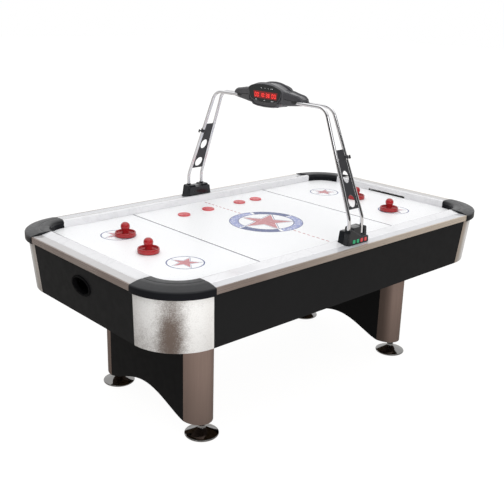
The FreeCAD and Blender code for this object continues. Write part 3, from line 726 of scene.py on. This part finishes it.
def add_markings():
    blue, pink, ink, pattern = bmesh.new(), bmesh.new(), bmesh.new(), bmesh.new()
    reach = RAIL_INNER_Y - 1 * MM
    line = 3.6 * MM
    for side in (-1, 1):
        x = side * GOAL_LINE_X
        stripe(ink, x - line, x + line, -reach, reach)
    dash, step = 19 * MM, 30 * MM
    y = RING_OUTER + 6 * MM
    while y + dash < reach:
        for side in (-1, 1):
            stripe(pink, -line, line, side * y, side * (y + dash))
        y += step

    # Centre ring: two fine lines, two solid arcs, and two arcs of a small pattern.
    def arc(bm, inner, outer, **turn):
        ring_prism(bm, (0, 0), inner, outer, INK_LOW, INK_TOP, steps=144, **turn)

    arc(blue, RING_INNER, RING_INNER + RING_LINE)
    arc(blue, RING_OUTER - RING_LINE, RING_OUTER)
    band = RING_INNER + RING_LINE + 0.2 * MM, RING_OUTER - RING_LINE - 0.2 * MM
    for half_turn in (0, 180):
        arc(blue, *band, start=2 + half_turn, sweep=68)
        arc(pattern, *band, start=75 + half_turn, sweep=104)
    add_piece("ring_pattern", pattern, "marking_pattern", "table")

    star_outline(blue, (0, 0), CENTRE_STAR, 4.5 * MM, 3.6 * MM, RING_INNER)
    prism(pink, star_points((0, 0), CENTRE_STAR), INK_LOW, INK_TOP)
    for side_x in (-1, 1):
        for side_y in (-1, 1):
            spot = (side_x * SPOT_X, side_y * SPOT_Y)
            ring_prism(blue, spot, 76.5 * MM, 82 * MM, INK_LOW, INK_TOP)
            prism(pink, star_points(spot, SPOT_STAR), INK_LOW, INK_TOP)
            star_outline(blue, spot, SPOT_STAR, 2.4 * MM, 2.0 * MM, 77.5 * MM)
    add_piece("goal_lines", ink, "marking_line", "table")
    add_piece("markings_blue", blue, "marking_blue", "table")
    add_piece("markings_red", pink, "marking_pink", "table")


def add_air_holes():
    """A square grid of shallow dark discs, painted shade in place of the air holes, up to the rails
    and the round corners.
    """
    bm = bmesh.new()
    across = int((RAIL_INNER_Y - 14 * MM) / HOLE_PITCH)
    along = int((RAIL_INNER_X - 14 * MM) / HOLE_PITCH)
    for i in range(-along, along + 1):
        for j in range(-across, across + 1):
            x, y = i * HOLE_PITCH, j * HOLE_PITCH
            over_x, over_y = abs(x) - CORNER_X, abs(y) - CORNER_Y
            if over_x > 0 and over_y > 0 and math.hypot(over_x, over_y) > CAP_INNER_R - 8 * MM:
                continue
            prism(bm, polygon((x, y), HOLE_RADIUS, 6), INK_LOW, HOLE_TOP)
    add_piece("air_holes", bm, "painted_hole_shade", "table")


# ---- Corner caps -------------------------------------------------------------------------
def cap_outline():
    """(radius, height) in millimetres above the playfield, clockwise from the inner foot."""
    outer = CAP_OUTER_R / MM
    inner = CAP_INNER_R / MM
    wall = rounded([(inner, 0.2), (inner + 0.3, 26), (inner + 4, 35), (inner + 12, 38.3)], 7, 5)
    top = rounded([
        (inner + 12, 38.3), (inner + 44, 38.4), (inner + 46.5, 37.2), (inner + 49, 37.0),
        (inner + 51.5, 38.0), (inner + 68, 37.2), (inner + 90, 32.6), (outer - 3.5, 27.5),
        (outer, 23.5), (outer, -3.5), (outer - 1.5, -5),
    ], 3.5, 3)
    foot = [(outer - 13, -5), (outer - 13, 0.2)]
    return in_metres(wall + top[1:] + foot)


def add_caps():
    for corner, (side_x, side_y) in CORNERS.items():
        bm = bmesh.new()
        lathe(bm, cap_outline(), (CORNER_X, CORNER_Y, FIELD_TOP), steps=40, sweep=90)
        for v in bm.verts:
            v.co.x *= side_x
            v.co.y *= side_y
        node = "corner_cap_" + corner
        add_piece(node + "_shell", bm, "cap_plastic", "table", replaces=(node,), angle=28)


# ---- Levelling feet ----------------------------------------------------------------------
THREAD_PITCH, THREAD_ROOT, THREAD_CREST = 1.6, 8.6, 9.5
THREAD_LOW, THREAD_TOP = 53.0, 117
# The nut stays under the leg insert when the foot is screwed in all the way.
NUT_RADIUS, NUT_LOW, NUT_TOP = 13.5 * MM, 49.5 * MM, 54 * MM


def add_feet():
    disc = [(0, 0.3), (63, 0.3), (70, 2.0), (76, 6.5), (77, 9.5), (76, 12.5), (71, 15.5),
            (60, 20.5), (46, 26.5), (33, 32), (25, 36), (20, 38.5), (17.5, 41), (17, 49.5),
            (16, 51), (11, 51.5)]
    thread = []
    height = THREAD_LOW
    while height < THREAD_TOP:
        thread += [(THREAD_ROOT, height), (THREAD_CREST, height + THREAD_PITCH / 2)]
        height += THREAD_PITCH
    end = [(THREAD_ROOT, height), (8, 119.5), (0, 119.5)]
    outline = rounded(disc, 4, 3) + thread + end
    for corner in CORNERS:
        node = "foot_" + corner
        centre = foot_of(node)
        bm = bmesh.new()
        lathe(bm, in_metres(outline), centre, steps=64)
        prism(bm, polygon(centre, NUT_RADIUS, 6), centre[2] + NUT_LOW, centre[2] + NUT_TOP)
        add_piece(node + "_turned", bm, "foot_chrome", node, replaces=(node,), angle=30)


# ---- Mallets and pucks -------------------------------------------------------------------
def add_mallets():
    body = [(0, 1.2), (46, 1.2), (48.2, 3.2), (48.4, 10), (48.2, 17.5), (46.6, 21), (44, 22),
            (41.6, 20.5), (40.4, 16), (38.6, 11.5), (34, 8.4), (27, 7.4), (20, 8.6), (15.5, 13),
            (13.6, 20), (13.6, 25), (15.8, 30.5), (19.2, 35.5), (21.2, 42), (21.4, 48),
            (19.8, 54.5), (16.4, 59.8), (11.5, 63.7), (6, 65.6), (0, 66)]
    pad = [(0, 0), (44.6, 0), (45.4, 0.6), (45.4, 1.3), (0, 1.3)]
    for node in sorted(n for n in frame["nodes"] if n.startswith("mallet_")):
        bm = bmesh.new()
        lathe(bm, in_metres(rounded(body, 3.2, 3)), foot_of(node))
        add_piece(node + "_moulding", bm, "mallet_red", node, replaces=(node,), angle=50)
        bm = bmesh.new()
        lathe(bm, in_metres(pad), foot_of(node))
        add_piece(node + "_felt", bm, "felt_grey", node)


def add_pucks():
    outline = [(0, 0.5), (27, 0.5), (28.5, 0), (31, 0), (32, 1.1), (32, 4.9), (31, 6), (28.6, 6),
               (27.2, 5.3), (0, 5.3)]
    for node in sorted(n for n in frame["nodes"] if n.startswith("puck_")):
        bm = bmesh.new()
        lathe(bm, in_metres(rounded(outline, 0.8, 3)), foot_of(node))
        add_piece(node + "_disc", bm, "puck_red", node, replaces=(node,), angle=50)


# ---- Goals -------------------------------------------------------------------------------
def add_goal_liners():
    """Black plastic lining round each goal slot, and the dark shelf behind it."""
    half, top = 128 * MM, FIELD_TOP + 10 * MM
    ceiling, wall = top - 0.8 * MM, half - 1.2 * MM
    front, back = RAIL_INNER_X + 0.2 * MM, RAIL_INNER_X + 9 * MM
    for side, name in ((-1, "left"), (1, "right")):
        bm = bmesh.new()
        for y0, y1, z0, z1 in (
            (-half, half, ceiling, top),
            (-half, -wall, INK_TOP, ceiling),
            (wall, half, INK_TOP, ceiling),
            (-half, half, INK_LOW, INK_TOP),
        ):
            block(bm, (side * front, y0, z0), (side * back, y1, z1))
        add_piece("goal_liner_" + name, bm, "pocket_plastic", "table")


# ---- Scoreboard housing ------------------------------------------------------------------
def at(table, place):
    """Straight-line value of a [(place, value), ...] table."""
    for (p0, v0), (p1, v1) in zip(table, table[1:]):
        if place <= p1:
            return v0 + (v1 - v0) * max(0.0, place - p0) / (p1 - p0)
    return table[-1][1]


# Half outlines of the middle body, in millimetres: (distance from the middle, height).
DOME_TOP = [(0, 1468), (20, 1467), (38, 1465), (55, 1461.5), (70, 1457), (84, 1452), (96, 1447),
            (106, 1442.5), (114, 1437)]
DOME_LOW = [(0, 1351), (50, 1353), (80, 1357.5), (85, 1360), (88, 1369), (114, 1373)]
DOME_HALF, DOME_DEPTH, DOME_STEPS = 114, 46, 48
# How far the face falls back at its ends, and how much longer it is on the reader's right.
DOME_BOW, DOME_STRETCH = 5.0, 0.12
# The ends move in by a ring's inset, but no further than this.
DOME_END_INSET = 11
# (inset, distance from the middle, inset of the underside) from the face to the crown's channel.
DOME_RINGS = [(13, 39.5, 10), (10, 45.4, 7), (7.5, 45.0, 4), (2.0, 38.5, 1), (0.3, 33.5, 0),
              (0.8, 28.5, 0), (5.5, 26.0, 0), (6.5, 12.0, 0)]


def dome_ring(inset, deep, low_inset):
    """The outline of the middle body at a distance deep from the middle, moved in by the insets."""
    ys = [DOME_HALF * (2 * i / DOME_STEPS - 1) for i in range(DOME_STEPS + 1)]
    shrink = (DOME_HALF - min(inset, DOME_END_INSET)) / DOME_HALF
    top = [(y * shrink, at(DOME_TOP, abs(y)) - inset) for y in ys]
    low = [(y * shrink, at(DOME_LOW, abs(y)) + low_inset) for y in reversed(ys)]
    swell = deep / DOME_DEPTH
    ring = [(deep - swell * DOME_BOW * (y / DOME_HALF) ** 2, y, z) for y, z in top + low]
    return [(x, y * (1 + DOME_STRETCH * max(0.0, swell * y / DOME_HALF)), z) for x, y, z in ring]


def turned(ring):
    """The same outline on the other face, which is half a turn about the upright axis."""
    top, low = ring[:DOME_STEPS + 1], ring[DOME_STEPS + 1:]
    return [(-x, -y, z) for part in (top, low) for x, y, z in reversed(part)]


def add_dome():
    """Two rims with a channel between them along the crown, and a keel along the underside."""
    bm = bmesh.new()
    rings = [dome_ring(*step) for step in DOME_RINGS]
    rings += [turned(ring) for ring in reversed(rings)]
    loft(bm, rings)
    add_piece("score_body", bm, "housing_grey", "table",
              replaces=("score_housing_left", "score_housing_right"), angle=22)


# Outlines on a display face, as the reader sees them, in millimetres: (right, height).
LENS = [(-101, 1434), (-96, 1441), (-84, 1447), (-62, 1453), (-34, 1457), (0, 1458.5), (36, 1457),
        (66, 1453), (90, 1446.5), (108, 1439.5), (115, 1432), (112, 1418), (104, 1400), (94, 1388),
        (76, 1381), (30, 1376.5), (-20, 1377.5), (-62, 1384), (-84, 1391), (-96, 1405)]
LENS_MIDDLE = (7, 1417)
WINDOW = [(-70, 1425.5), (92, 1425.5), (86, 1393), (-64, 1393)]
WINDOW_HEIGHT = 1409
# Small label bars round the display: (right, height, width).
LABELS = ((-15, 1440.5, 5), (9, 1441, 3), (29, 1440.5, 3), (53, 1441, 13), (-51, 1386, 9),
          (6, 1384.5, 9), (58, 1384.5, 14))
# Distances from the middle plane of the scoreboard.
RIM_ROOT, RIM_EDGE, RIM_CREST = 43.0, 46.6, 47.4
LENS_DEPTH, WINDOW_DEPTH = (42.4, 44.6), (44.2, 45.2)
LABEL_DEPTH, DIGIT_DEPTH = (44.5, 45.1), (45.1, 45.7)


def plate_on_face(bm, outline, depth, side, middle, shrink):
    """A flat closed plate on a display face. Its outer outline is smaller by the factor shrink."""
    loft(bm, [[(side * x, side * y * k, middle + (z - middle) * k) for y, z in outline]
              for x, k in zip(depth, (1.0, shrink))])


def add_faces():
    across, up = LENS_MIDDLE
    rim_outline = [(across + (y - across) * 1.03, up + (z - up) * 1.045) for y, z in LENS]
    rim_rings = ((rim_outline, RIM_ROOT), (rim_outline, RIM_EDGE),
                 (LENS, RIM_CREST), (LENS, RIM_ROOT))
    for side, name in ((-1, "left"), (1, "right")):
        rim = bmesh.new()
        loft(rim, [[(side * (x - 2.0 * (abs(y) / 103) ** 2), side * y, z) for y, z in outline]
                   for outline, x in rim_rings], closed=True)
        add_piece("score_rim_" + name, rim, "housing_grey", "table", angle=20)
        lens = bmesh.new()
        plate_on_face(lens, LENS, LENS_DEPTH, side, up, 0.99)
        add_piece("score_face_" + name, lens, "lens_black", "table")
        glass = bmesh.new()
        plate_on_face(glass, WINDOW, WINDOW_DEPTH, side, WINDOW_HEIGHT, 0.985)
        replaced = ("score_windows",) if side < 0 else ()
        add_piece("score_glass_" + name, glass, "window_red", "table", replaces=replaced)
        labels = bmesh.new()
        for y, z, width in LABELS:
            low, high = in_metres([(side * LABEL_DEPTH[0], y * side - width / 2, z - 1.2),
                                   (side * LABEL_DEPTH[1], y * side + width / 2, z + 1.2)])
            block(labels, low, high)
        add_piece("score_marks_" + name, labels, "legend_white", "table")


# Profiles of the wings, in millimetres: (distance from the middle, height or half depth).
WING_TOP = [(96, 1443), (116, 1438.5), (119, 1436), (136, 1435), (160, 1430.5), (178, 1427.5),
            (188, 1426), (200, 1424.5), (212, 1421), (224, 1413)]
WING_MID = [(96, 1404), (200, 1396), (224, 1396)]
WING_LOW = [(96, 1366), (140, 1371), (190, 1376), (232, 1381)]
WING_HALF = [(96, 40), (118, 39), (150, 34), (190, 30), (224, 27)]
# Where each shell has its cross sections.
WING_PARTS = (
    ("top", (96, 116, 119, 136, 150, 164, 178, 188, 200, 212, 219, 224)),
    ("low", (96, 118, 140, 160, 180, 200, 218, 231)),
)
WING_CORE = [(30.6, 1388), (30.6, 1400), (-30.6, 1400), (-30.6, 1388)]


def wing_section(y, part):
    """The (x, height) outline of the upper or the lower shell. A gap parts the two."""
    half = at(WING_HALF, y)
    middle = at(WING_MID, y)
    if part == "top":
        top = at(WING_TOP, y)
        side = [(half, middle + 1.2), (half - 1, top - 8), (half - 4, top - 2), (half - 7, top),
                (half - 10, top), (half - 13, top - 5)]
    else:
        low = at(WING_LOW, y)
        side = [(half - 1.5, middle - 1.2), (half - 1.5, low + 7), (half - 5, low + 2),
                (half - 12, low)]
    return side + [(-x, z) for x, z in reversed(side)]


def add_wings():
    for side, name in ((-1, "front"), (1, "back")):
        for part, ys in WING_PARTS:
            bm = bmesh.new()
            loft(bm, [[(x, side * y, z) for x, z in wing_section(y, part)] for y in ys])
            add_piece("score_wing_%s_%s" % (part, name), bm, "housing_grey", "table", angle=18)
        # A dark box in the gap between the two shells: painted shade inside the housing.
        bm = bmesh.new()
        loft(bm, [[(x, side * y, z) for x, z in WING_CORE] for y in (90, 200)])
        add_piece("score_core_" + name, bm, "painted_hole_shade", "table")


# ---- Arch bases --------------------------------------------------------------------------
TUBE_X, TUBE_Y = 43, 564
COLLAR = [(8.1, -2), (10.5, -2), (10.5, 4), (9.8, 5), (8.1, 5)]
# Top of each base at its left and right tube.
COLLAR_TOPS = {"arch_base_back": (876, 876), "arch_base_front": (870, 852)}
# The front base is narrower on its left, most so at its front face.
NARROW_FROM_X = -20
FRONT_FACE_Y, FRONT_DEPTH, FRONT_SHARE, FRONT_GAIN = -581, 59, 0.68, 0.16


def base_share(x, y):
    """What part of its distance from the middle a point of a base keeps."""
    if x >= NARROW_FROM_X or y > 0:
        return 1.0
    return FRONT_SHARE + FRONT_GAIN * (y - FRONT_FACE_Y) / FRONT_DEPTH


def add_bases():
    """A low trapezoid at the back. At the front, a console whose top falls towards the buttons,
    with a block and a rear wall behind it."""
    plain = [(-80, 813), (-74, 826), (-67, 868), (-64, 874), (-60, 876), (-24, 876), (-18, 870),
             (18, 870), (24, 876), (60, 876), (64, 874), (67, 868), (74, 826), (80, 813)]
    console = [(-80, 813), (-77, 868), (-73, 880), (-66, 887), (-50, 886), (-30, 877), (24, 851),
               (34, 847), (74, 844), (79, 839), (80, 813)]
    middle = [(-80, 813), (-77, 868), (-73, 880), (-66, 886), (-60, 884), (-57, 870), (-30, 870),
              (-27, 886), (-22, 889), (29, 889), (33, 885), (33, 852), (53, 852), (53, 885),
              (57, 888), (64, 888), (69, 884), (72, 848), (79, 813)]
    rear = [(-77, 813), (-66, 868), (-61, 874), (-40, 875), (-24, 873), (-18, 884), (-13, 887),
            (56, 887), (63, 884), (67, 876), (77, 813)]
    toe = [(x, min(z, 868)) for x, z in plain]
    shapes = {
        "arch_base_back": [("block", plain, 581, 534), ("toe", toe, 535, 521)],
        "arch_base_front": [("console", console, -581, -573), ("block", middle, -573.5, -553),
                            ("rear", rear, -553.5, -522)],
    }
    for node, parts in shapes.items():
        for part, outline, y0, y1 in parts:
            bm = bmesh.new()
            loft(bm, [[(x * base_share(x, y), y, z) for x, z in outline] for y in (y0, y1)])
            replaced = (node,) if part == "block" else ()
            piece = add_piece("%s_%s" % (node, part), bm, "base_black", "table", replaces=replaced,
                              angle=30)
            round_edges(piece, (3.0 if part == "console" else 1.4) * MM, 30)
        bm = bmesh.new()
        tube_y = math.copysign(TUBE_Y, parts[0][2])
        for x, top in zip((-TUBE_X, TUBE_X), COLLAR_TOPS[node]):
            lathe(bm, in_metres(COLLAR), (x * MM, tube_y * MM, top * MM), steps=32)
        add_piece(node + "_collars", bm, "base_black", "table")


# ---- Scoreboard display ------------------------------------------------------------------
SEGMENTS = {
    "0": "abcdef", "1": "bc", "2": "abdeg", "3": "abcdg", "4": "bcfg",
    "5": "acdfg", "6": "acdefg", "7": "abc", "8": "abcdefg", "9": "abcdfg",
}


# How far the whole readout sits to the reader's right, in millimetres.
READOUT_SHIFT = 11
DIGIT_WIDTH, DIGIT_HEIGHT = 9.5 * MM, 17.5 * MM
# (digit, place to the reader's right, size) of the two scores and of the clock between them.
READOUT = (("0", -65, 1), ("0", -49, 1), ("0", 49, 1), ("0", 65, 1),
           ("1", -28, 0.9), ("0", -14, 0.9), ("3", 10, 0.9), ("8", 24, 0.9))


def digit(bm, text, y, z, width, height, x0, x1, facing):
    """One seven-segment digit. y runs the way it reads from the side it faces."""
    t = height * 0.125
    slots = {
        "a": (0, height / 2, width, t), "g": (0, 0, width, t), "d": (0, -height / 2, width, t),
        "f": (-width / 2, height / 4, t, height / 2), "b": (width / 2, height / 4, t, height / 2),
        "e": (-width / 2, -height / 4, t, height / 2), "c": (width / 2, -height / 4, t, height / 2),
    }
    for name in SEGMENTS[text]:
        dy, dz, w, h = slots[name]
        w, h = (w - t * 0.9, h) if w > h else (w, h - t * 0.9)
        cy, cz = (y + dy) * facing, z + dz
        block(bm, (x0, cy - w / 2, cz - h / 2), (x1, cy + w / 2, cz + h / 2))


def add_display():
    low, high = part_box("score_windows")
    middle = (low.z + high.z) / 2 - 2.5 * MM
    colon, dot = 9.5 * MM, 1.3 * MM
    for side, name in ((-1, "left"), (1, "right")):
        x0, x1 = sorted(side * x * MM for x in DIGIT_DEPTH)
        lights = bmesh.new()
        for text, y, size in READOUT:
            digit(lights, text, (y + READOUT_SHIFT) * MM, middle, DIGIT_WIDTH * size,
                  DIGIT_HEIGHT * size, x0, x1, side)
        for dz in (-4 * MM, 4 * MM):
            block(lights, (x0, side * colon - dot, middle + dz - dot),
                  (x1, side * colon + dot, middle + dz + dot))
        add_piece("display_digits_" + name, lights, "led_red", "table")


# ---- Screws of the arch plates -----------------------------------------------------------
# (radius, height) of a screw head, as shares of its radius.
SCREW_HEAD = [(0, -0.5), (1, -0.5), (1, 0.1), (0.85, 0.35), (0.5, 0.5), (0, 0.55)]


def screw(bm, place, normal, radius):
    """A domed head, sunk by half its radius."""
    turn = Vector(normal).to_track_quat("Z", "Y").to_matrix().to_4x4()
    start = len(bm.verts)
    lathe(bm, [(r * radius, h * radius) for r, h in SCREW_HEAD], (0, 0, 0), steps=20)
    bm.verts.ensure_lookup_table()
    for v in bm.verts[start:]:
        v.co = turn @ v.co + Vector(place)


def add_plate_screws():
    """Four heads on each plate, where a ray from outside meets it."""
    plates = frame["nodes"]["arch_plates"]
    bm = bmesh.new()
    for side in (-1, 1):
        for x, z in ((-24, 1176), (24, 1176), (-24, 985), (24, 985)):
            outside = Vector((x * MM, side * 0.9, z * MM))
            start = plates.matrix_world.inverted() @ outside
            hit, spot, normal, _ = plates.ray_cast(start, Vector((0, -side, 0)))
            if hit:
                screw(bm, plates.matrix_world @ spot, normal, 3.2 * MM)
    add_piece("plate_screws", bm, "steel_light", "table")


# ---- Build -------------------------------------------------------------------------------
slot_of = {part["node"]: part["material_slot"] for part in frame["record"]["subparts"]}
materials = make_materials()

add_camera()
add_floor()
add_light()
scene.view_settings.view_transform = "Standard"

# Rounding of the CAD nodes whose names start so.
EDGE_ROUNDING = {
    "leg_column": 1.5 * MM, "leg_skins": 0.6 * MM, "side_rail": 1.2 * MM, "end_rail": 1.2 * MM,
    "rail_trims": 0.8 * MM, "side_apron": 0.5 * MM, "end_apron": 0.5 * MM,
    "corner_panel": 0.5 * MM, "arch_plates": 0.6 * MM,
}
for node in frame["nodes"]:
    width = next((w for key, w in EDGE_ROUNDING.items() if node.startswith(key)), 0.0)
    dress(node, width)

add_markings()
add_air_holes()
add_caps()
add_feet()
add_mallets()
add_pucks()
add_goal_liners()
add_dome()
add_faces()
add_wings()
add_bases()
add_display()
add_plate_screws()
